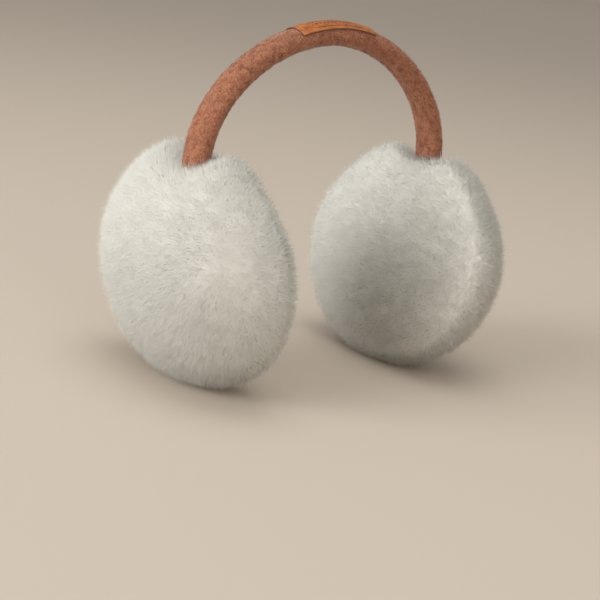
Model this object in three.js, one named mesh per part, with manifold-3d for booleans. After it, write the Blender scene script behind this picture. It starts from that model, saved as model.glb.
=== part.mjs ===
// Fur earmuffs: two deep-pile fur ear pads on a padded, suede-covered headband, with a small
// leather patch wrapped over its crown.
// Units are millimetres. +Z is up, the wearer faces -Y and the wearer's left ear is at +X.
// The origin is on the ground, midway between the two pads that the earmuffs stand on.
import * as THREE from "three";
import { mergeVertices } from "three/addons/utils/BufferGeometryUtils.js";
import Module from "manifold-3d";

// Pieces that touch keep this much air between them.
const GAP = 0.3;

// Height of the ears, which are the centres of the pads, above the ground.
const EAR_HEIGHT = 70;

// The headband: an oval padded section along an arch that ends in two straight legs.
// Heights are above the ears, and an arch power of 2 would be a true half ellipse.
const BAND = {
  halfSpan: 93.3,
  springHeight: 62.5,
  crownHeight: 137.2,
  archPower: 1.89,
  width: 19.3,
  thickness: 13.4,
  legLength: 30,
  sides: 20,
  steps: 58,
};

// The leather patch: how far it runs along the crown and around the band's section.
const PATCH = {
  length: 55,
  offset: -6,
  wrapDegrees: 118,
  thickness: 1,
  steps: 22,
  sides: 10,
};

// An ear pad, out to the tips of its fur: a thick disc with a domed outer face and a flatter
// inner one, leaning in at the bottom.
const PAD = {
  centreX: 79.4,
  leanDegrees: 7.2,
  halfWidth: 78.5,
  halfHeight: 74,
  outerDepth: 46,
  innerDepth: 22.5,
  outerPower: 2.4,
  innerPower: 3.0,
};

// Above the ears each pad is drawn in towards its top: its outer side, its inner side and its width
// from front to back, as shares of their sizes.
const SHOULDER = { outer: 0.13, inner: 0.25, width: 0.05 };

// The cleft that the headband's leg presses into the top of the fur, and the fur that is heaped up
// in front of it and behind it. It fades in between two heights, given as shares of the pad's.
const CLEFT = {
  depth: 13,
  halfWidth: 16,
  halfDepth: 10,
  heap: 2,
  heapAt: 27,
  heapHalfWidth: 9,
  fade: [0.1, 0.7],
};

// The pile: locks set in a hexagonal pattern, each rising from the backing between six hollows.
// The fur is swept away from the middle of the outer face, over the rim and a little downwards.
// A spread under 1 draws the rows out over a face that is nearer to the pad's centre than its rim.
const PILE = {
  rows: 12,
  length: 6,
  innerLength: 2.5,
  groundLength: 1.2,
  sweep: 4.5,
  sweepTowards: new THREE.Vector3(-1, 0, -0.35),
  ragged: 1,
  outerSpread: 0.72,
  innerSpread: 0.36,
};

// How far the fur's skin is turned inwards, or to the ground, as pressing starts and ends.
const PRESSED = {
  inwards: [0.2, 0.9],
  downwards: [0.86, 0.96],
};

const COLOURS = { fur: 0xddd8cb, suede: 0xa5684a, leather: 0xc67a3c };

const signedPower = (x, power) => Math.sign(x) * Math.abs(x) ** power;

// How far down a straight leg each degree past the spring of the arch leads.
const LEG_PER_DEGREE = 1.3;

// The middle of the headband. The angle is 0 at the wearer's left spring of the arch and 180 at
// the right one, and past them it runs down the straight legs.
function bandCentre(degrees) {
  const beyond = Math.max(0, -degrees, degrees - 180);
  const angle = THREE.MathUtils.degToRad(THREE.MathUtils.clamp(degrees, 0, 180));
  const rise = BAND.crownHeight - BAND.springHeight;
  const x = BAND.halfSpan * signedPower(Math.cos(angle), 2 / BAND.archPower);
  const z = BAND.springHeight + rise * Math.sin(angle) ** (2 / BAND.archPower);
  return new THREE.Vector3(x, 0, EAR_HEIGHT + z - beyond * LEG_PER_DEGREE);
}

class BandCurve extends THREE.Curve {
  constructor(fromDegrees, toDegrees) {
    super();
    this.fromDegrees = fromDegrees;
    this.toDegrees = toDegrees;
  }

  getPoint(t, target = new THREE.Vector3()) {
    return target.copy(bandCentre(THREE.MathUtils.lerp(this.fromDegrees, this.toDegrees, t)));
  }
}

// A point of the band's oval section, lifted off its surface. The angle is 0 on the outer side,
// and the outer side is at -y because the path's own frame has +y towards the arch's inside.
function sectionPoint(degrees, lift = 0) {
  const angle = THREE.MathUtils.degToRad(degrees);
  const half = new THREE.Vector2(BAND.width / 2, BAND.thickness / 2);
  const across = new THREE.Vector2(Math.sin(angle) / half.x, -Math.cos(angle) / half.y).normalize();
  return new THREE.Vector2(
    half.x * Math.sin(angle) + lift * across.x,
    -half.y * Math.cos(angle) + lift * across.y,
  );
}

function ovalSection(lift) {
  const points = [];
  for (let side = 0; side < BAND.sides; side += 1) {
    points.push(sectionPoint((360 * side) / BAND.sides, lift));
  }
  return new THREE.Shape(points);
}

function bandGeometry(lift = 0, extraLeg = 0) {
  const beyond = (BAND.legLength + extraLeg) / LEG_PER_DEGREE;
  return new THREE.ExtrudeGeometry(ovalSection(lift), {
    steps: BAND.steps,
    extrudePath: new BandCurve(180 + beyond, -beyond),
  });
}

// The patch: an arc of leather, just clear of the band, drawn along the crown.
function patchGeometry() {
  const crownSpeed = (BAND.halfSpan * Math.PI) / 180;
  const middle = 90 - PATCH.offset / crownSpeed;
  const half = PATCH.length / 2 / crownSpeed;
  const arc = (lift) => {
    const points = [];
    for (let side = 0; side <= PATCH.sides; side += 1) {
      points.push(sectionPoint(PATCH.wrapDegrees * (side / PATCH.sides - 0.5), lift));
    }
    return points;
  };
  const outline = [...arc(GAP), ...arc(GAP + PATCH.thickness).reverse()];
  return new THREE.ExtrudeGeometry(new THREE.Shape(outline), {
    steps: PATCH.steps,
    extrudePath: new BandCurve(middle + half, middle - half),
  });
}

// How far the pad's skin lies from its centre in a direction (outwards, back, up).
function padReach(direction) {
  const outer = direction.x > 0;
  const depth = outer ? PAD.outerDepth : PAD.innerDepth;
  const power = outer ? PAD.outerPower : PAD.innerPower;
  const rim = Math.hypot(direction.y / PAD.halfWidth, direction.z / PAD.halfHeight);
  return ((Math.abs(direction.x) / depth) ** power + rim ** power) ** (-1 / power);
}

function padNormal(point) {
  const outer = point.x > 0;
  const depth = outer ? PAD.outerDepth : PAD.innerDepth;
  const power = outer ? PAD.outerPower : PAD.innerPower;
  const rim = Math.hypot(point.y / PAD.halfWidth, point.z / PAD.halfHeight);
  const across = rim ** (power - 2);
  return new THREE.Vector3(
    signedPower(point.x / depth, power - 1) / depth,
    (across * point.y) / PAD.halfWidth ** 2,
    (across * point.z) / PAD.halfHeight ** 2,
  ).normalize();
}

// How long the fur stands here: short on the inner face and where the ground presses it.
function pileLength(normal) {
  const inner = THREE.MathUtils.smoothstep(-normal.x, ...PRESSED.inwards);
  const ground = THREE.MathUtils.smoothstep(-normal.z, ...PRESSED.downwards);
  const free = THREE.MathUtils.lerp(PILE.length, PILE.innerLength, inner);
  return THREE.MathUtils.lerp(free, PILE.groundLength, ground);
}

// A repeatable number from -1 to 1 for a direction, alike in front and behind.
function unevenness(direction) {
  const seed = direction.x * 127.1 + Math.abs(direction.y) * 311.7 + direction.z * 74.7;
  const wave = Math.sin(seed) * 43758.5453;
  return 2 * (wave - Math.floor(wave)) - 1;
}

function sweepDirection(normal) {
  return PILE.sweepTowards.clone().projectOnPlane(normal);
}

// The pad's skin drawn in towards the top.
function slimShoulders(point) {
  const share = THREE.MathUtils.smoothstep(point.z / PAD.halfHeight, 0, 1);
  point.x *= 1 - (point.x > 0 ? SHOULDER.outer : SHOULDER.inner) * share;
  point.y *= 1 - SHOULDER.width * share;
}

// How far the leg lowers the fur here, which is less than nothing where the fur is heaped up.
function cleftDrop(point) {
  const fade = THREE.MathUtils.smoothstep(point.z / PAD.halfHeight, ...CLEFT.fade);
  const leg = (BAND.halfSpan - PAD.centreX) / 2;
  const bell = (distance, halfWidth) => Math.exp(-((distance / halfWidth) ** 2) / 2);
  const dip = CLEFT.depth * Math.exp(-((point.y / CLEFT.halfWidth) ** 4) / 2);
  const heap = CLEFT.heap * bell(Math.abs(point.y) - CLEFT.heapAt, CLEFT.heapHalfWidth);
  return fade * (dip - heap) * bell(point.x - leg, CLEFT.halfDepth);
}

// A point of the fur in the pad's own frame: the tip of a lock, or a hollow between locks.
function furPoint(direction, isTip) {
  const point = direction.clone().multiplyScalar(padReach(direction));
  const normal = padNormal(point);
  const length = pileLength(normal);
  slimShoulders(point);
  if (isTip) {
    const share = length / PILE.length;
    point.addScaledVector(normal, PILE.ragged * share * (unevenness(direction) - 1));
    point.addScaledVector(sweepDirection(normal), PILE.sweep * share);
  } else {
    point.addScaledVector(normal, -length);
  }
  point.z -= cleftDrop(point);
  return point;
}

// The fur's surface: the twenty faces of an icosahedron, each divided into rows. A corner whose
// three row numbers leave the same remainder by 3 is the tip of a lock, and its six neighbours
// are hollows. The side is 1 for the wearer's left pad and -1 for its mirror image.
function furGeometry(side) {
  const corners = new THREE.IcosahedronGeometry(1, 0).getAttribute("position");
  const positions = [];
  for (let face = 0; face < corners.count; face += 3) {
    const [a, b, c] = [0, 1, 2].map((k) => new THREE.Vector3().fromBufferAttribute(corners, face + k));
    const at = (i, j) => {
      const k = PILE.rows - i - j;
      const direction = new THREE.Vector3()
        .addScaledVector(a, i)
        .addScaledVector(b, j)
        .addScaledVector(c, k)
        .normalize();
      direction.x *= direction.x > 0 ? PILE.outerSpread : PILE.innerSpread;
      const isTip = (i - j) % 3 === 0 && (j - k) % 3 === 0;
      const point = furPoint(direction.normalize(), isTip);
      point.x *= side;
      return point;
    };
    const addTriangle = (...points) => {
      const ordered = side > 0 ? points : points.reverse();
      ordered.forEach((point) => positions.push(point.x, point.y, point.z));
    };
    for (let i = 0; i < PILE.rows; i += 1) {
      for (let j = 0; i + j < PILE.rows; j += 1) {
        addTriangle(at(i, j), at(i + 1, j), at(i, j + 1));
        if (i + j + 2 <= PILE.rows) {
          addTriangle(at(i + 1, j), at(i + 1, j + 1), at(i, j + 1));
        }
      }
    }
  }
  const geometry = new THREE.BufferGeometry();
  return geometry.setAttribute("position", new THREE.Float32BufferAttribute(positions, 3));
}

const wasm = await Module();
wasm.setup();

// A closed geometry as a solid that can be cut, in the frame that the matrix leads to.
function solidFrom(geometry, matrix = new THREE.Matrix4()) {
  const bare = new THREE.BufferGeometry();
  const loose = geometry.index ? geometry.toNonIndexed() : geometry;
  bare.setAttribute("position", loose.getAttribute("position").clone());
  const merged = mergeVertices(bare.applyMatrix4(matrix), 1e-3);
  const vertProperties = new Float32Array(merged.getAttribute("position").array);
  const triVerts = new Uint32Array(merged.index.array);
  return new wasm.Manifold(new wasm.Mesh({ numProp: 3, vertProperties, triVerts }));
}

function geometryFrom(solid, matrix) {
  const mesh = solid.getMesh();
  const geometry = new THREE.BufferGeometry();
  const vertices = new THREE.Float32BufferAttribute(mesh.vertProperties, mesh.numProp);
  geometry.setAttribute("position", vertices);
  geometry.setIndex(new THREE.Uint32BufferAttribute(mesh.triVerts, 1));
  return geometry.applyMatrix4(matrix);
}

// The ground under the pads, which presses the fur flat where they stand.
function groundBlock() {
  const size = 500;
  return new THREE.BoxGeometry(size, size, size).translate(0, 0, -size / 2);
}

function namedMesh(name, geometry, colour, roughness) {
  const material = new THREE.MeshStandardMaterial({ color: colour, roughness, metalness: 0 });
  const mesh = new THREE.Mesh(geometry, material);
  mesh.name = name;
  mesh.geometry.computeVertexNormals();
  return mesh;
}

// One ear pad in a group of its own, with the socket that the headband's leg sits in.
function earPad(name, side) {
  const group = new THREE.Group();
  group.position.set(side * PAD.centreX, 0, EAR_HEIGHT);
  group.rotation.y = side * THREE.MathUtils.degToRad(PAD.leanDegrees);
  group.updateMatrixWorld(true);
  const fur = solidFrom(furGeometry(side), group.matrixWorld);
  const socket = solidFrom(bandGeometry(GAP, GAP));
  const cut = fur.subtract(socket).subtract(solidFrom(groundBlock()));
  const geometry = geometryFrom(cut, group.matrixWorld.clone().invert());
  group.add(namedMesh(name, geometry, COLOURS.fur, 0.95));
  return group;
}

const earmuffs = new THREE.Group();
earmuffs.add(namedMesh("headband", bandGeometry(), COLOURS.suede, 0.9));
earmuffs.add(namedMesh("label_patch", patchGeometry(), COLOURS.leather, 0.6));
earmuffs.add(earPad("fur_pad_left", 1));
earmuffs.add(earPad("fur_pad_right", -1));

export default earmuffs;
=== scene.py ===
"""Fur earmuffs: two deep-pile ear pads on a padded suede headband with a leather patch on top.

Everything is in metres. The front is at -Y, the left pad, as worn, is at +X, and +Z is up.
"""

import math

import bpy
import numpy as np
from mathutils import Matrix, Vector


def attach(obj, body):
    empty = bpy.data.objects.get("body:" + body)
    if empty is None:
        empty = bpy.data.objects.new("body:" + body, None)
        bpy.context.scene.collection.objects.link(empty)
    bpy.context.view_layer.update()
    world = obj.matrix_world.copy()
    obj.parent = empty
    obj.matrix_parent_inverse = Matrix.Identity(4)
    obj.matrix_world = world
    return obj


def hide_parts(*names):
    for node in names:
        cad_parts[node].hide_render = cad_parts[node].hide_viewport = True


# The frame's driving sizes. Only the inner power and the heap are the fur's own: its inner rim is
# rounder than the solids', and it is heaped up less beside the leg.
BAND = {
    "half_span": 0.0933,
    "spring": 0.0625,
    "crown": 0.1372,
    "power": 1.89,
    "half_width": 0.00965,
    "half_thickness": 0.0067,
    "leg": 0.030,
}
PAD = {
    "centre_x": 0.0794,
    "centre_z": 0.070,
    "lean": 7.2,
    "half_width": 0.0785,
    "half_height": 0.074,
    "outer_depth": 0.046,
    "inner_depth": 0.0225,
    "outer_power": 2.4,
    "inner_power": 2.6,
}
CLEFT = {
    "depth": 0.013,
    "half_width": 0.0160,
    "half_depth": 0.0100,
    "heap": 0.0014,
    "heap_at": 0.027,
    "heap_half_width": 0.009,
    "fade": (0.1, 0.7),
}
SHOULDER = {"outer": 0.13, "inner": 0.25, "width": 0.05}

# In the pairs below, a wavelength comes before its strength, as in "lumps" and "tufts". The
# others are ranges: of shares drawn for each strand, as in "length" and "widths", or of how
# squarely a place faces, as in "dome". "middle" is how far a strand's middle leans and rises.

# The closed underfur that the pile grows on
UNDERFUR = {
    "subdivisions": 6,
    "outer_spread": 0.72,
    "inner_spread": 0.36,
    "inset": 0.0008,
    "lumps": (0.040, 0.0002),
    "floor_gap": 0.0015,
    "smoothing": 7,
    "softening": 12,
}

# The fur: how deep the pile is, how far it leans, and how its strands draw together into tufts
PILE = {
    "strands": 198_000,
    "pieces": 3,
    "depth": 0.0048,
    "inner_depth": 0.0036,
    "inner_face": (0.2, 0.9),
    "length": (0.75, 1.1),
    "ragged_rim": 0.22,
    "ragged_wavelength": 0.0032,
    "dome": (-0.1, 0.8),
    "lean": 0.40,
    "wander": (0.035, 0.18),
    "width": 0.00022,
    "widths": (0.75, 1.25),
    "roll": 0.55,
    "guard_share": 0.08,
    "guard_length": (1.1, 1.65),
    "guard_sweep": 0.6,
    "guard_width": 0.7,
    "middle": (0.5, 0.55),
    "tufts": ((0.0110, 0.00020), (0.0055, 0.00010), (0.0024, 0.00004)),
    "middle_pull": 0.4,
    "frizz": 0.0014,
    "lowest": (0.0002, 0.0012),
    "shading_spread": 0.2,
    "tone_spread": 0.15,
    "clouds": (0.012, 0.08),
}

# Which way the pile is combed: down over the dome, upright at the rim, open on the inner face
COMB = {
    "sag": 0.32,
    "even_from": 0.45,
    "rim_share": 0.3,
    "dome": (-0.1, 0.6),
    "inner_face": (-0.2, 0.7),
    "opening": 0.2,
    "opening_from": 0.03,
    "half_turn": 0.015,
    "beside_leg": 0.013,
    "leg_heights": (0.09, 0.115),
    "up_leg": 1.3,
}

# The collar of fur round the band's leg, with more and longer guard hairs
COLLAR = {"half_width": 0.011, "guard_share": 0.2, "guard_length": 0.3}

# The suede cover: its grid, the padding's unevenness, and the closing seam along its underside
COVER = {
    "rings": 380,
    "sides": 72,
    "padding": (0.018, 0.00008),
    "seam_depth": 0.0007,
    "seam_half_angle": 0.08,
}

# The suede's raised nap, and how much its tone changes over which distances
NAP = {
    "strands": 42_000,
    "root_depth": 0.0001,
    "swirls": 0.006,
    "stray": 0.8,
    "length": 0.0016,
    "lengths": (0.6, 1.3),
    "width": 0.00016,
    "widths": (0.7, 1.3),
    "rise": 0.3,
    "rises": (0.5, 1.3),
    "middle": (0.5, 0.7),
    "roll": 0.5,
    "shading_spread": 0.25,
    "tone_spread": 0.26,
    "mottling": ((0.009, 0.07), (0.0026, 0.15)),
}

PATCH = {
    "length": 0.055,
    "offset": -0.0060,
    "wrap": 118,
    "gap": 0.0003,
    "thickness": 0.0008,
    "edge_lift": 0.0004,
    "edge_power": 8,
    "columns": 110,
    "rows": 44,
}

# The patch's plain ornament: rows of small diamonds between two lines
ORNAMENT = {
    "patch_width": 0.0177,
    "pitch": 0.0028,
    "half_size": 0.00105,
    "rows_reach": 0.0050,
    "line_at": 0.0062,
    "half_line": 0.00028,
    "reach": 0.0185,
    "soft_from": 0.8,
}

# The tones of each finish, by their places on a ramp from dark to light
UNDERFUR_TONES = ((0.3, (0.84, 0.825, 0.77)), (0.7, (0.90, 0.89, 0.84)))
FUR_TONES = (
    (0.0, (0.743, 0.726, 0.661)),
    (0.5, (0.835, 0.821, 0.770)),
    (1.0, (0.907, 0.899, 0.867)),
)
SUEDE_TONES = (
    (0.32, (0.16, 0.060, 0.034)),
    (0.5, (0.28, 0.112, 0.062)),
    (0.68, (0.40, 0.175, 0.10)),
)
NAP_TONES = (
    (0.0, (0.10, 0.036, 0.020)),
    (0.5, (0.38, 0.165, 0.092)),
    (1.0, (0.86, 0.48, 0.30)),
)
LEATHER_TONES = (
    (0.3, (0.225, 0.058, 0.009)),
    (0.52, (0.355, 0.10, 0.016)),
    (0.72, (0.45, 0.145, 0.027)),
)
BURNT_TONE = (0.055, 0.021, 0.010, 1)
CUT_EDGE_TONES = ((0.3, (0.07, 0.042, 0.028)), (0.7, (0.16, 0.10, 0.066)))

FLOOR = {
    "radius": 9.0,
    "corners": 128,
    "colour": (0.53, 0.457, 0.38, 1),
    "curve": 3.0,
    "curve_turn": 80,
    "curve_steps": 16,
}

# The studio's soft light from all round, and where its softboxes aim and from how far
STUDIO = {"colour": (1.0, 0.99, 0.97, 1), "strength": 0.58, "aim": (0, 0, 0.1), "distance": 2.6}

# Each softbox: the way to it, its size, its power, its colour and its spread in degrees
SOFTBOXES = {
    "key": ((-0.95, 0.35, 0.10), 1.5, 8.4, (0.97, 0.99, 1.03), 70),
    "upper_key": ((-0.92, 0.05, 0.42), 2.0, 12.2, (0.99, 0.99, 0.985), 100),
    "fill": ((-0.3, -0.95, 0.07), 1.5, 6.4, (1, 0.985, 0.955), 70),
    "top": ((0, 0, 1), 2.0, 10, (1, 0.985, 0.955), 120),
}

# The photograph's camera
CAMERA = {
    "place": (-0.5829, -0.6407, 0.2674),
    "azimuth": -42.307,
    "elevation": 14.579,
    "roll": 8.326,
    "lens": 86.2,
    "sensor": 36.0,
}


def unit(vectors):
    """Each row scaled to length 1."""
    return vectors / np.maximum(np.linalg.norm(vectors, axis=-1, keepdims=True), 1e-12)


def along_surface(vectors, facing):
    """Each row without its part along the surface's facing."""
    return vectors - facing * np.einsum("ij,ij->i", vectors, facing)[:, None]


def bell(distance, half_width):
    """1 at no distance, and smoothly less on either side."""
    return np.exp(-((distance / half_width) ** 2) / 2)


def smooth_step(x, low, high):
    """0 up to the low value, 1 from the high one, and a smooth rise between them."""
    t = np.clip((x - low) / (high - low), 0, 1)
    return t * t * (3 - 2 * t)


def tuft_field(points, wavelength, rng, waves=28):
    """A smooth random vector at each point. Strands that lean by it draw together into tufts."""
    along = unit(rng.normal(size=(waves, 3)))
    phase = rng.uniform(0, 2 * math.pi, waves)
    swing = np.sin(points @ along.T * (2 * math.pi / wavelength) + phase)
    return swing @ along * math.sqrt(2 / waves)


# Materials


def new_material(name):
    """A material, its Principled shader, and functions that add a node and that link sockets."""
    material = bpy.data.materials.new(name)
    material.use_nodes = True
    tree = material.node_tree
    shader = tree.nodes["Principled BSDF"]

    def node(kind, inputs=None, **settings):
        made = tree.nodes.new(kind)
        for key, value in settings.items():
            setattr(made, key, value)
        for key, value in (inputs or {}).items():
            if isinstance(value, bpy.types.NodeSocket):
                tree.links.new(value, made.inputs[key])
            else:
                made.inputs[key].default_value = value
        return made

    return material, shader, node, tree.links.new


def set_inputs(shader, values):
    """Sets the shader's own sockets, by their names."""
    for socket, value in values.items():
        shader.inputs[socket].default_value = value


def ramp(node, factor, stops):
    """A colour ramp with (place, colour) stops."""
    made = node("ShaderNodeValToRGB", {"Fac": factor})
    elements = made.color_ramp.elements
    while len(elements) < len(stops):
        elements.new(0.5)
    for element, (place, colour) in zip(elements, stops):
        element.position = place
        element.color = (*colour, 1)
    return made.outputs["Color"]


def bump(node, height, strength, distance):
    """The facing of a surface with fine relief."""
    relief = {"Height": height, "Strength": strength, "Distance": distance}
    return node("ShaderNodeBump", relief).outputs["Normal"]


def strand_material(name, tones, painted_root_shade, sheen, through_share):
    """Fibres whose UV map holds each strand's tone across and the way from root to tip up."""
    material, shader, node, link = new_material(name)
    place = node("ShaderNodeUVMap", uv_map=STRAND_MAP)
    parts = node("ShaderNodeSeparateXYZ", {"Vector": place.outputs["UV"]})
    colour = ramp(node, parts.outputs["X"], tones)
    # Painted shade: each fibre's colour is darkened towards its root, standing in for the shade
    # deep among the fibres
    rise = node(
        "ShaderNodeMapRange",
        {"Value": parts.outputs["Y"], "From Max": 0.7, "To Min": painted_root_shade, "To Max": 1.0},
    )
    shaded = node(
        "ShaderNodeVectorMath",
        {0: colour, "Scale": rise.outputs["Result"]},
        operation="SCALE",
    )
    link(shaded.outputs["Vector"], shader.inputs["Base Color"])
    matte = {"Roughness": 0.85, "Specular IOR Level": 0.15}
    set_inputs(shader, {**matte, "Sheen Weight": sheen, "Sheen Roughness": 0.5})
    through = node("ShaderNodeBsdfTranslucent", {"Color": shaded.outputs["Vector"]})
    both = node(
        "ShaderNodeMixShader",
        {0: through_share, 1: shader.outputs["BSDF"], 2: through.outputs["BSDF"]},
    )
    out = material.node_tree.nodes["Material Output"]
    link(both.outputs["Shader"], out.inputs["Surface"])
    return material


def fur_backing_material():
    """The dense underfur that shows between the strands."""
    material, shader, node, link = new_material("fur_underfur")
    place = node("ShaderNodeTexCoord").outputs["Object"]
    tufts = node("ShaderNodeTexNoise", {"Vector": place, "Scale": 900.0, "Detail": 4.0})
    colour = ramp(node, tufts.outputs["Fac"], UNDERFUR_TONES)
    link(colour, shader.inputs["Base Color"])
    link(bump(node, tufts.outputs["Fac"], 0.2, 0.0006), shader.inputs["Normal"])
    set_inputs(shader, {"Roughness": 0.95})
    return material


def suede_material():
    """Rust-brown suede: soft blotches where the nap lies either way, and a fine grain."""
    material, shader, node, link = new_material("suede")
    place = node("ShaderNodeTexCoord").outputs["Object"]
    blotches = node("ShaderNodeTexNoise", {"Vector": place, "Scale": 130.0, "Detail": 5.0})
    grain = node(
        "ShaderNodeTexNoise", {"Vector": place, "Scale": 1100.0, "Detail": 3.0, "Roughness": 0.7}
    )
    mixed = node(
        "ShaderNodeMix", {"Factor": 0.7, "A": blotches.outputs["Fac"], "B": grain.outputs["Fac"]}
    )
    colour = ramp(node, mixed.outputs["Result"], SUEDE_TONES)
    link(colour, shader.inputs["Base Color"])
    link(bump(node, mixed.outputs["Result"], 0.5, 0.0008), shader.inputs["Normal"])
    set_inputs(shader, {"Roughness": 0.92, "Specular IOR Level": 0.2})
    set_inputs(shader, {"Sheen Weight": 0.5, "Sheen Roughness": 0.4})
    set_inputs(shader, {"Sheen Tint": (1.0, 0.62, 0.45, 1)})
    return material


def burnt_ornament(node):
    """1 in rows of small diamonds and two fine lines, on the patch's own map, else 0."""

    def maths(operation, first, second=0.0):
        return node("ShaderNodeMath", {0: first, 1: second}, operation=operation).outputs["Value"]

    def inside(value, limit):
        """1 well below the limit, and softly 0 at it."""
        edge = {"From Min": limit * ORNAMENT["soft_from"], "From Max": limit}
        fall = {"Value": value, **edge, "To Min": 1.0, "To Max": 0.0}
        return node("ShaderNodeMapRange", fall, interpolation_type="SMOOTHSTEP").outputs["Result"]

    place = node("ShaderNodeUVMap", uv_map="UVMap")
    parts = node("ShaderNodeSeparateXYZ", {"Vector": place.outputs["UV"]})
    along = maths("MULTIPLY", maths("SUBTRACT", parts.outputs["X"], 0.5), PATCH["length"])
    across = maths("MULTIPLY", maths("SUBTRACT", parts.outputs["Y"], 0.5), ORNAMENT["patch_width"])
    across = maths("ABSOLUTE", across)
    half = ORNAMENT["pitch"] / 2
    steps = maths("ADD", maths("PINGPONG", along, half), maths("PINGPONG", across, half))
    rows = maths("LESS_THAN", across, ORNAMENT["rows_reach"])
    diamonds = maths("MULTIPLY", inside(steps, ORNAMENT["half_size"]), rows)
    from_line = maths("ABSOLUTE", maths("SUBTRACT", across, ORNAMENT["line_at"]))
    lines = inside(from_line, ORNAMENT["half_line"])
    within = inside(maths("ABSOLUTE", along), ORNAMENT["reach"])
    return maths("MULTIPLY", maths("MAXIMUM", diamonds, lines), within)


def leather_material():
    """Orange-tan veg leather with a fine pebbled grain and a burnt ornament."""
    material, shader, node, link = new_material("patch_leather")
    place = node("ShaderNodeTexCoord").outputs["Object"]
    cloud = node("ShaderNodeTexNoise", {"Vector": place, "Scale": 260.0, "Detail": 8.0})
    pebbles = node("ShaderNodeTexVoronoi", {"Vector": place, "Scale": 1300.0})
    colour = ramp(node, cloud.outputs["Fac"], LEATHER_TONES)
    burnt = node(
        "ShaderNodeMix",
        {"Factor": burnt_ornament(node), 6: colour, 7: BURNT_TONE},
        data_type="RGBA",
    )
    link(burnt.outputs[2], shader.inputs["Base Color"])
    link(bump(node, pebbles.outputs["Distance"], 0.5, 0.0003), shader.inputs["Normal"])
    set_inputs(shader, {"Roughness": 0.62, "Specular IOR Level": 0.3})
    return material


def cut_edge_material():
    """The patch's cut edge, burnished dark."""
    material, shader, node, link = new_material("patch_cut_edge")
    place = node("ShaderNodeTexCoord").outputs["Object"]
    fibres = node("ShaderNodeTexNoise", {"Vector": place, "Scale": 1800.0, "Detail": 3.0})
    colour = ramp(node, fibres.outputs["Fac"], CUT_EDGE_TONES)
    link(colour, shader.inputs["Base Color"])
    set_inputs(shader, {"Roughness": 0.6})
    return material


def floor_material():
    """The plain pale floor, matte."""
    material, shader, _, _ = new_material("studio_floor")
    set_inputs(shader, {"Base Color": FLOOR["colour"], "Roughness": 0.9, "Specular IOR Level": 0.1})
    return material


# The headband

ARCH_STEPS = 2000
LEG_STEPS = 60


def arch_line():
    """Closely spaced points down the middle of the band, from the right leg's end to the left's."""
    angle = np.linspace(math.pi, 0, ARCH_STEPS)
    across = np.cos(angle)
    rise = BAND["crown"] - BAND["spring"]
    power = 2 / BAND["power"]
    x = BAND["half_span"] * np.sign(across) * np.abs(across) ** power
    z = BAND["spring"] + rise * np.abs(np.sin(angle)) ** power + PAD["centre_z"]
    foot = z[0] - BAND["leg"]
    leg = np.linspace(foot, z[0], LEG_STEPS)[:-1]
    side = np.full(len(leg), BAND["half_span"])
    x = np.concatenate([-side, x, side])
    z = np.concatenate([leg, z, leg[::-1]])
    return np.stack([x, np.zeros(len(x)), z], 1)


class Arch:
    """The band's middle line, read by distance along it from the crown, and its outward side."""

    def __init__(self):
        line = arch_line()
        step = np.linalg.norm(np.diff(line, axis=0), axis=1)
        self.along = np.concatenate([[0], np.cumsum(step)])
        self.half = self.along[-1] / 2
        self.along -= self.half
        self.line = line

    def at(self, along):
        """The middle line's point at each distance along it."""
        return np.stack([np.interp(along, self.along, self.line[:, k]) for k in range(3)], 1)

    def outward(self, along):
        """The way out of the arch at each distance along it."""
        reach = 0.0008
        way = unit(self.at(along + reach) - self.at(along - reach))
        return np.stack([-way[:, 2], np.zeros(len(way)), way[:, 0]], 1)

    def skin(self, along, angle, lift=0.0):
        """Points on the oval section, and the way that the skin faces. Angle 0 faces outwards."""
        end = self.half - 0.001
        out = self.outward(np.clip(along, -end, end))
        side = np.array([0.0, 1.0, 0.0])
        thick, wide = BAND["half_thickness"], BAND["half_width"]
        cos, sin = np.cos(angle)[:, None], np.sin(angle)[:, None]
        facing = unit(out * cos / thick + side * sin / wide)
        place = self.at(along) + out * cos * thick + side * sin * wide
        return place + facing * np.reshape(lift, (-1, 1)), facing


ARCH = Arch()


def coordinates(piece):
    """The piece's points, one in each row."""
    found = np.empty(len(piece.data.vertices) * 3)
    piece.data.vertices.foreach_get("co", found)
    return found.reshape(-1, 3)


def set_coordinates(piece, places):
    """Moves the piece's points to these places."""
    piece.data.vertices.foreach_set("co", places.ravel())
    piece.data.update()


def start_piece(name, primitive, **settings):
    """Adds a primitive by its operator, with nothing else selected, and names it."""
    bpy.ops.object.select_all(action="DESELECT")
    primitive(**settings)
    piece = bpy.context.object
    piece.name = name
    piece.data.name = name
    return piece


def edit_all():
    """Enters edit mode on the piece at work, with all of it selected."""
    bpy.ops.object.mode_set(mode="EDIT")
    bpy.ops.mesh.select_all(action="SELECT")


def close_and_orient():
    """Merges the doubled vertices of the piece at work and turns its faces outwards."""
    edit_all()
    bpy.ops.mesh.remove_doubles(threshold=1e-6)
    bpy.ops.mesh.normals_make_consistent(inside=False)
    bpy.ops.object.mode_set(mode="OBJECT")
    bpy.ops.object.shade_smooth()


def settle(piece, material):
    """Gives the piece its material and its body."""
    piece.data.materials.clear()
    piece.data.materials.append(material)
    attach(piece, "root")


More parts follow.
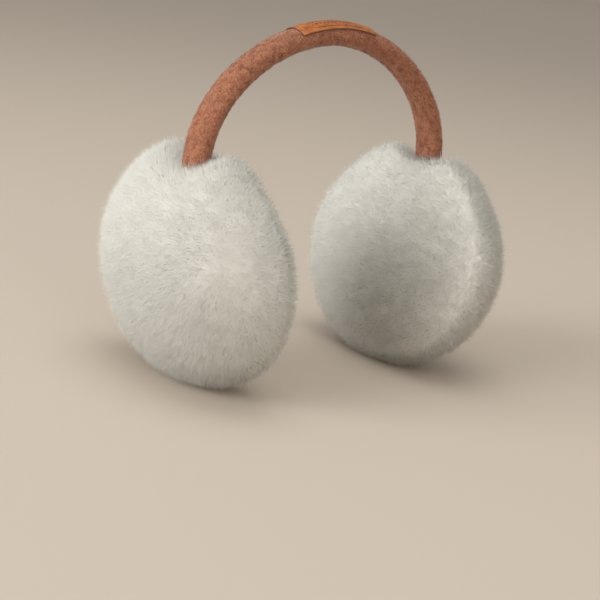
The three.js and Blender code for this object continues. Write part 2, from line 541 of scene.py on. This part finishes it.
def make_band():
    """A tube of suede round the padding: a grid, rolled into the section and along the arch."""
    piece = start_piece(
        "band_cover",
        bpy.ops.mesh.primitive_grid_add,
        x_subdivisions=COVER["rings"],
        y_subdivisions=COVER["sides"],
        size=2,
    )
    flat = coordinates(piece)
    along = flat[:, 0] * ARCH.half
    angle = flat[:, 1] * math.pi
    rng = np.random.default_rng(11)
    rough = ARCH.skin(along, angle)[0]
    wavelength, height = COVER["padding"]
    lift = height * tuft_field(rough, wavelength, rng)[:, 2]
    lift -= COVER["seam_depth"] * bell(math.pi - np.abs(angle), COVER["seam_half_angle"])
    places, _ = ARCH.skin(along, angle, lift)
    set_coordinates(piece, places)
    # The long edges meet along the underside, and each end gets its face
    edit_all()
    bpy.ops.mesh.remove_doubles(threshold=2e-5)
    bpy.ops.mesh.select_all(action="DESELECT")
    bpy.ops.mesh.select_mode(type="EDGE")
    bpy.ops.mesh.select_non_manifold()
    bpy.ops.mesh.edge_face_add()
    bpy.ops.object.mode_set(mode="OBJECT")
    close_and_orient()
    settle(piece, suede_material())
    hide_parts("headband")


# Strands of pile and nap

STRAND_MAP = "OFBake"

LEG_FOOT = PAD["centre_z"] + BAND["spring"] - BAND["leg"]


def make_strands(name, strands, tones, material):
    """One mesh of fine blades, two triangles each: pointed root, full middle, pointed tip.

    Every blade keeps one tone, and its shading follows the surface that it grows on.
    """
    roots, middles, tips, across, facing = strands
    count = len(roots)
    blades = np.stack([roots, middles - across, middles + across, tips], 1)
    order = (np.arange(count)[:, None] * 4 + np.array([0, 2, 1, 1, 2, 3])).ravel()
    half_width, margin = 0.004, 0.01
    middle = np.clip(tones, margin, 1 - margin)[:, None]
    u = middle + np.array([0, -1, 1, 0]) * half_width
    v = np.tile([0.0, 0.5, 0.5, 1.0], (count, 1))
    map_places = np.stack([u, v], 2).reshape(-1, 2)[order]
    mesh = bpy.data.meshes.new(name)
    mesh.vertices.add(count * 4)
    mesh.vertices.foreach_set("co", blades.astype(np.float32).ravel())
    mesh.loops.add(len(order))
    mesh.loops.foreach_set("vertex_index", order.astype(np.int32))
    mesh.polygons.add(count * 2)
    mesh.polygons.foreach_set("loop_start", np.arange(0, len(order), 3, dtype=np.int32))
    layer = mesh.uv_layers.new(name=STRAND_MAP)
    layer.uv.foreach_set("vector", map_places.astype(np.float32).ravel())
    mesh.update(calc_edges=True)
    mesh.shade_smooth()
    mesh.normals_split_custom_set_from_vertices(np.repeat(facing, 4, axis=0))
    piece = bpy.data.objects.new(name, mesh)
    bpy.context.scene.collection.objects.link(piece)
    settle(piece, material)


def blade_sides(roots, tips, facing, width, roll):
    """Half the width of each blade, as a vector: mostly flat on the surface, turned by its roll."""
    way = unit(tips - roots)
    flat = unit(np.cross(way, facing))
    turned = np.cross(way, flat)
    across = flat * np.cos(roll)[:, None] + turned * np.sin(roll)[:, None]
    front = np.einsum("ij,ij->i", np.cross(across, way), facing)
    return across * (np.where(front < 0, -1, 1) * width / 2)[:, None]


def sample_surface(points, triangles, count, rng):
    """Random points spread evenly over a surface, each with its triangle and its weights there."""
    a, b, c = (points[triangles[:, k]] for k in range(3))
    area = np.linalg.norm(np.cross(b - a, c - a), axis=1)
    chosen = rng.choice(len(triangles), count, p=area / area.sum())
    u, v = rng.random(count), rng.random(count)
    over = u + v > 1
    u[over], v[over] = 1 - u[over], 1 - v[over]
    weights = np.stack([1 - u - v, u, v], 1)
    return chosen, weights


def make_nap(material):
    """The suede's short fibres, lying every way over the band, except under the patch."""
    rng = np.random.default_rng(21)
    count = NAP["strands"]
    along = rng.uniform(-ARCH.half, ARCH.half, count)
    angle = rng.uniform(-math.pi, math.pi, count)
    under_patch = (np.abs(along - PATCH["offset"]) < PATCH["length"] / 2) & (
        np.abs(angle) < math.radians(PATCH["wrap"] / 2)
    )
    along, angle = along[~under_patch], angle[~under_patch]
    count = len(along)
    roots, facing = ARCH.skin(along, angle, -NAP["root_depth"])
    way = tuft_field(roots, NAP["swirls"], rng) + rng.normal(size=(count, 3)) * NAP["stray"]
    way = unit(along_surface(way, facing))
    length = NAP["length"] * rng.uniform(*NAP["lengths"], count)[:, None]
    rise = NAP["rise"] * rng.uniform(*NAP["rises"], count)[:, None]
    middle_along, middle_up = NAP["middle"]
    middles = roots + (way * middle_along + facing * rise * middle_up) * length
    tips = roots + (way + facing * rise) * length
    width = NAP["width"] * rng.uniform(*NAP["widths"], count)
    across = blade_sides(roots, tips, facing, width, rng.normal(size=count) * NAP["roll"])
    shading = unit(facing + rng.normal(size=(count, 3)) * NAP["shading_spread"])
    tones = 0.5 + NAP["tone_spread"] * rng.normal(size=count)
    for wavelength, swing in NAP["mottling"]:
        tones += swing * tuft_field(roots, wavelength, rng)[:, 0]
    make_strands("band_nap", [roots, middles, tips, across, shading], tones, material)


# The ear pads


def pad_halves(outward):
    """The depth and power of the half that a point is in."""
    outer = outward > 0
    depth = np.where(outer, PAD["outer_depth"], PAD["inner_depth"])
    power = np.where(outer, PAD["outer_power"], PAD["inner_power"])
    return depth, power


def pad_skin(directions):
    """The skin of the fur in the pad's own frame, x outwards, and the way that it faces."""
    depth, power = pad_halves(directions[:, 0])
    sizes = np.array([PAD["half_width"], PAD["half_height"]])
    rim = np.linalg.norm(directions[:, 1:] / sizes, axis=1)
    reach = ((np.abs(directions[:, 0]) / depth) ** power + rim**power) ** (-1 / power)
    places = directions * reach[:, None]
    rim = np.linalg.norm(places[:, 1:] / sizes, axis=1)
    out = np.sign(places[:, 0]) * (np.abs(places[:, 0]) / depth) ** (power - 1) / depth
    around = (rim ** (power - 2))[:, None] * places[:, 1:] / sizes**2
    return places, unit(np.concatenate([out[:, None], around], 1))


def cleft_drop(places):
    """How far the band's leg lowers the fur here, fading in with height."""
    fade = smooth_step(places[:, 2] / PAD["half_height"], *CLEFT["fade"])
    leg = (BAND["half_span"] - PAD["centre_x"]) / 2
    dip = CLEFT["depth"] * np.exp(-((places[:, 1] / CLEFT["half_width"]) ** 4) / 2)
    heap = CLEFT["heap"] * bell(np.abs(places[:, 1]) - CLEFT["heap_at"], CLEFT["heap_half_width"])
    return fade * (dip - heap) * bell(places[:, 0] - leg, CLEFT["half_depth"])


def pad_matrix(side):
    """From a pad's own frame, in which x is outwards, to the object's frame."""
    lean = math.radians(PAD["lean"])
    outwards = [side * math.cos(lean), 0, -math.sin(lean)]
    up = [side * math.sin(lean), 0, math.cos(lean)]
    axes = np.stack([outwards, [0, 1, 0], up], 1)
    return axes, np.array([side * PAD["centre_x"], 0, PAD["centre_z"]])


def pile_depth(facing):
    """How deep the pile is: shallower on the inner face."""
    inner = smooth_step(-facing[:, 0], *PILE["inner_face"])
    return PILE["depth"] + (PILE["inner_depth"] - PILE["depth"]) * inner


def slim_shoulders(places):
    """Draws the pad in towards its top."""
    share = smooth_step(places[:, 2] / PAD["half_height"], 0, 1)
    slimmer = np.where(places[:, 0] > 0, SHOULDER["outer"], SHOULDER["inner"])
    drawn = places.copy()
    drawn[:, 0] *= 1 - slimmer * share
    drawn[:, 1] *= 1 - SHOULDER["width"] * share
    return drawn


def from_leg(places, side):
    """Sideways and forward distance from the middle of the band's leg."""
    return places[:, 0] - side * BAND["half_span"], places[:, 1]


def clear_of_leg(places, side):
    """Points moved out of the band's leg, which passes through the top of the fur."""
    margin = 1.06
    x, y = from_leg(places, side)
    reach = np.hypot(x / BAND["half_thickness"], y / BAND["half_width"])
    inside = (reach < margin) & (places[:, 2] > LEG_FOOT)
    push = np.where(inside, margin / np.maximum(reach, 1e-6), 1.0)
    moved = places.copy()
    moved[:, 0] = side * BAND["half_span"] + x * push
    moved[:, 1] = y * push
    return moved, inside


def fur_flow(places, facing, side):
    """Which way the pile lies at each place, along the surface, and how strongly."""
    axes, centre = pad_matrix(side)
    outwards = axes[:, 0]
    comb = -outwards - [0, 0, COMB["sag"]]
    flow = comb - facing * (facing @ comb)[:, None]
    flow /= np.maximum(np.linalg.norm(flow, axis=1, keepdims=True), COMB["even_from"])
    # Towards the rim it straightens up
    least = COMB["rim_share"]
    flow *= least + (1 - least) * smooth_step(facing @ outwards, *COMB["dome"])[:, None]
    # On the inner face it stands up and opens outwards
    across = (places - centre) @ axes
    across[:, 0] = 0
    from_middle = np.linalg.norm(across, axis=1) / COMB["opening_from"]
    opening = unit(across) @ axes.T * np.minimum(from_middle, 1)[:, None]
    inner = smooth_step(-(facing @ outwards), *COMB["inner_face"])[:, None]
    flow = flow * (1 - inner) + COMB["opening"] * opening * inner
    # Beside the band's leg it rises along the leg
    rising = bell(np.hypot(*from_leg(places, side)), COMB["beside_leg"])
    rising = (rising * smooth_step(places[:, 2], *COMB["leg_heights"]))[:, None]
    return flow * (1 - rising) + np.array([0, 0, COMB["up_leg"]]) * rising


def rounded_facing(places, side):
    """Which way a plain oval of the pad's sizes would face, for a soft turn from side to side."""
    axes, centre = pad_matrix(side)
    local = (places - centre) @ axes
    outer_share = smooth_step(local[:, 0], -COMB["half_turn"], COMB["half_turn"])
    depth = PAD["inner_depth"] + (PAD["outer_depth"] - PAD["inner_depth"]) * outer_share
    local[:, 0] /= depth**2
    local[:, 1] /= PAD["half_width"] ** 2
    local[:, 2] /= PAD["half_height"] ** 2
    return unit(local) @ axes.T


def softened_facing(piece):
    """The facing of each point averaged with its neighbours', so that the fur turns softly."""
    facing = np.empty(len(piece.data.vertices) * 3)
    piece.data.vertex_normals.foreach_get("vector", facing)
    facing = facing.reshape(-1, 3)
    edges = np.array([tuple(edge.vertices) for edge in piece.data.edges])
    for _ in range(UNDERFUR["softening"]):
        total = facing.copy()
        np.add.at(total, edges[:, 0], facing[edges[:, 1]])
        np.add.at(total, edges[:, 1], facing[edges[:, 0]])
        facing = unit(total)
    return facing


def make_backing(name, side, rng, material):
    """The underfur: a closed rounded form, a pile's depth inside the fur's skin."""
    backing = start_piece(
        f"{name}_underfur",
        bpy.ops.mesh.primitive_ico_sphere_add,
        subdivisions=UNDERFUR["subdivisions"],
        radius=1,
    )
    # The points are crowded towards the rim, where the skin turns
    directions = unit(coordinates(backing))
    outer = directions[:, 0] > 0
    directions[:, 0] *= np.where(outer, UNDERFUR["outer_spread"], UNDERFUR["inner_spread"])
    skin, facing = pad_skin(unit(directions))
    depth = pile_depth(facing)
    wavelength, height = UNDERFUR["lumps"]
    lumps = height * tuft_field(skin, wavelength, rng)[:, 0]
    under = slim_shoulders(skin) - facing * (depth + UNDERFUR["inset"] - lumps)[:, None]
    under[:, 2] -= cleft_drop(under)
    axes, centre = pad_matrix(side)
    places = under @ axes.T + centre
    places[:, 2] = np.maximum(places[:, 2], UNDERFUR["floor_gap"])
    set_coordinates(backing, places)
    # Rounds the tight corner that the inner rim gets from lying a pile's depth inside the skin
    edit_all()
    bpy.ops.mesh.vertices_smooth(factor=0.5, repeat=UNDERFUR["smoothing"])
    bpy.ops.object.mode_set(mode="OBJECT")
    close_and_orient()
    settle(backing, material)
    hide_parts(f"fur_{name}")
    return backing, depth


def strand_lengths(roots, normals, depths, side, rng):
    """The length of each strand, and which strands are the longer guard hairs."""
    count = len(roots)
    length = depths * rng.uniform(*PILE["length"], count)
    dome = smooth_step(normals @ pad_matrix(side)[0][:, 0], *PILE["dome"])
    ragged = PILE["ragged_rim"] * (1 - dome)
    length *= 1 + ragged * tuft_field(roots, PILE["ragged_wavelength"], rng)[:, 0]
    collar = bell(np.hypot(*from_leg(roots, side)), COLLAR["half_width"])
    collar = collar * (roots[:, 2] > LEG_FOOT)
    guard = rng.random(count) < PILE["guard_share"] + COLLAR["guard_share"] * collar
    longer = rng.uniform(*PILE["guard_length"], count) + COLLAR["guard_length"] * collar
    length[guard] *= longer[guard]
    return length, guard


def strand_ends(roots, normals, sweep, length, depths, rng):
    """The middle and the tip of each strand, drawn together into tufts, frizzed, off the floor."""
    lean = sweep * PILE["lean"]
    middle_lean, middle_up = PILE["middle"]
    middles = roots + (normals + lean * middle_lean) * (length * middle_up)[:, None]
    tips = roots + (normals + lean) * length[:, None]
    for wavelength, pull in PILE["tufts"]:
        drawn = tuft_field(roots, wavelength, rng) * ((depths / PILE["depth"])[:, None] * pull)
        tips += drawn
        middles += drawn * PILE["middle_pull"]
    tips += rng.normal(size=roots.shape) * PILE["frizz"]
    low = rng.uniform(*PILE["lowest"], len(roots))
    for ends in (middles, tips):
        ends[:, 2] = np.maximum(ends[:, 2], low)
    return middles, tips


def make_pad(name, side, seed, materials):
    """One ear pad: its underfur, and the pile on it in a few joined meshes."""
    rng = np.random.default_rng(seed)
    backing, depth = make_backing(name, side, rng, materials["underfur"])
    places = coordinates(backing)
    facing = softened_facing(backing)
    flow = fur_flow(places, facing, side)
    triangles = np.array([tuple(face.vertices) for face in backing.data.polygons])

    count = PILE["strands"]
    chosen, weights = sample_surface(places, triangles, count, rng)
    picked = triangles[chosen]

    def blend(values):
        return np.einsum("nk,nk...->n...", weights, values[picked])

    roots, normals, sweep, depths = blend(places), unit(blend(facing)), blend(flow), blend(depth)
    wavelength, wander = PILE["wander"]
    sweep = along_surface(sweep + wander * tuft_field(roots, wavelength, rng), normals)
    length, guard = strand_lengths(roots, normals, depths, side, rng)
    sweep[guard] *= PILE["guard_sweep"]
    middles, tips = strand_ends(roots, normals, sweep, length, depths, rng)
    roots, sunk = clear_of_leg(roots, side)
    middles, _ = clear_of_leg(middles, side)
    tips, _ = clear_of_leg(tips, side)
    width = PILE["width"] * rng.uniform(*PILE["widths"], count)
    width = width * np.where(guard, PILE["guard_width"], 1)
    across = blade_sides(roots, tips, normals, width, rng.normal(size=count) * PILE["roll"])
    stray = rng.normal(size=(count, 3)) * PILE["shading_spread"]
    shading = unit(normals + rounded_facing(roots, side) + stray)
    tones = 0.5 + PILE["tone_spread"] * rng.normal(size=count)
    wavelength, swing = PILE["clouds"]
    tones = tones + swing * tuft_field(roots, wavelength, rng)[:, 2]
    kept = np.flatnonzero(~sunk)
    for k in range(PILE["pieces"]):
        part = kept[k :: PILE["pieces"]]
        strands = [values[part] for values in (roots, middles, tips, across, shading)]
        make_strands(f"{name}_pile_{k + 1}", strands, tones[part], materials["pile"])


def make_patch():
    """The leather patch: a grid laid round the crown of the band, then given its thickness."""
    piece = start_piece(
        "patch",
        bpy.ops.mesh.primitive_grid_add,
        x_subdivisions=PATCH["columns"],
        y_subdivisions=PATCH["rows"],
        size=2,
    )
    flat = coordinates(piece)
    along = flat[:, 0] * PATCH["length"] / 2 + PATCH["offset"]
    angle = flat[:, 1] * math.radians(PATCH["wrap"] / 2)
    # The long edges stand a little off the suede
    lifted = PATCH["gap"] + PATCH["edge_lift"] * np.abs(flat[:, 1]) ** PATCH["edge_power"]
    places, _ = ARCH.skin(along, angle, lifted)
    set_coordinates(piece, places)
    settle(piece, leather_material())
    piece.data.materials.append(cut_edge_material())
    thick = piece.modifiers.new("thickness", "SOLIDIFY")
    thick.thickness = PATCH["thickness"]
    thick.offset = 1
    thick.material_offset_rim = 1
    bpy.ops.object.modifier_apply(modifier=thick.name)
    close_and_orient()
    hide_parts("label_patch")


# The studio


def make_stage():
    """A wide floor whose edge curves up all round as a plain backdrop."""
    floor = start_piece(
        "floor",
        bpy.ops.mesh.primitive_circle_add,
        vertices=FLOOR["corners"],
        radius=FLOOR["radius"],
        fill_type="NGON",
    )
    bpy.ops.object.mode_set(mode="EDIT")
    bpy.ops.mesh.select_mode(type="EDGE")
    bpy.ops.mesh.select_all(action="SELECT")
    curve, steps = FLOOR["curve"], FLOOR["curve_steps"]
    radius, height = FLOOR["radius"], 0.0
    for k in range(1, steps + 1):
        turn = math.radians(FLOOR["curve_turn"]) * k / steps
        wider = FLOOR["radius"] + curve * math.sin(turn)
        higher = curve * (1 - math.cos(turn))
        bpy.ops.mesh.extrude_edges_move(TRANSFORM_OT_translate={"value": (0, 0, higher - height)})
        scale = wider / radius
        bpy.ops.transform.resize(value=(scale, scale, 1))
        radius, height = wider, higher
    bpy.ops.object.mode_set(mode="OBJECT")
    bpy.ops.object.shade_smooth()
    floor.data.materials.append(floor_material())


def add_softbox(name, direction, size, power, colour, spread):
    """A round softbox that aims at the middle of the earmuffs."""
    light = bpy.data.lights.new(name, "AREA")
    light.shape = "DISK"
    light.size = size
    light.spread = math.radians(spread)
    light.energy = power
    light.color = colour
    lamp = bpy.data.objects.new(name, light)
    target = Vector(STUDIO["aim"])
    lamp.location = target + Vector(direction).normalized() * STUDIO["distance"]
    lamp.rotation_euler = (target - lamp.location).to_track_quat("-Z", "Y").to_euler()
    bpy.context.scene.collection.objects.link(lamp)


def make_lights():
    """Soft light from all round, and the softboxes."""
    world = bpy.data.worlds.new("studio")
    bpy.context.scene.world = world
    world.use_nodes = True
    background = world.node_tree.nodes["Background"]
    background.inputs["Color"].default_value = STUDIO["colour"]
    background.inputs["Strength"].default_value = STUDIO["strength"]
    for name, settings in SOFTBOXES.items():
        add_softbox(name, *settings)


def make_camera():
    """The camera at the photograph's viewing angle."""
    camera = bpy.data.cameras.new("camera")
    camera.lens = CAMERA["lens"]
    camera.sensor_width = CAMERA["sensor"]
    azimuth, elevation = math.radians(CAMERA["azimuth"]), math.radians(CAMERA["elevation"])
    level = math.cos(elevation)
    towards = Vector(
        (-math.sin(azimuth) * level, math.cos(azimuth) * level, -math.sin(elevation))
    )
    turn = towards.to_track_quat("-Z", "Y").to_matrix()
    turn = turn @ Matrix.Rotation(math.radians(CAMERA["roll"]), 3, "Z")
    seen = bpy.data.objects.new("camera", camera)
    seen.matrix_world = Matrix.Translation(CAMERA["place"]) @ turn.to_4x4()
    bpy.context.scene.collection.objects.link(seen)
    bpy.context.scene.camera = seen


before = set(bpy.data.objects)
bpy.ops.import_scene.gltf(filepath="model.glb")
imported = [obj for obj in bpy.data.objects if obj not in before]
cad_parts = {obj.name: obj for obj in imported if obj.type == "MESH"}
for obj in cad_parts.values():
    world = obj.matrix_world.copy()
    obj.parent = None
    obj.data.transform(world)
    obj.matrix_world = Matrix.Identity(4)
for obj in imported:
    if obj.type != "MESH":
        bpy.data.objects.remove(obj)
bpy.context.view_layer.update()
bpy.context.scene.view_settings.view_transform = "Standard"
bpy.context.scene.cycles.diffuse_bounces = 10
make_camera()
make_lights()
make_stage()
make_band()
make_patch()
# The nap's fibres are painted darker towards their roots, as painted shade; the pile's fibres are
# not
make_nap(strand_material("suede_nap", NAP_TONES, painted_root_shade=0.75, sheen=0.2, through_share=0.5))
fur = {
    "underfur": fur_backing_material(),
    "pile": strand_material("fur_pile", FUR_TONES, painted_root_shade=1.0, sheen=0.1, through_share=0.5),
}
make_pad("pad_right", -1, seed=3, materials=fur)
make_pad("pad_left", 1, seed=4, materials=fur)
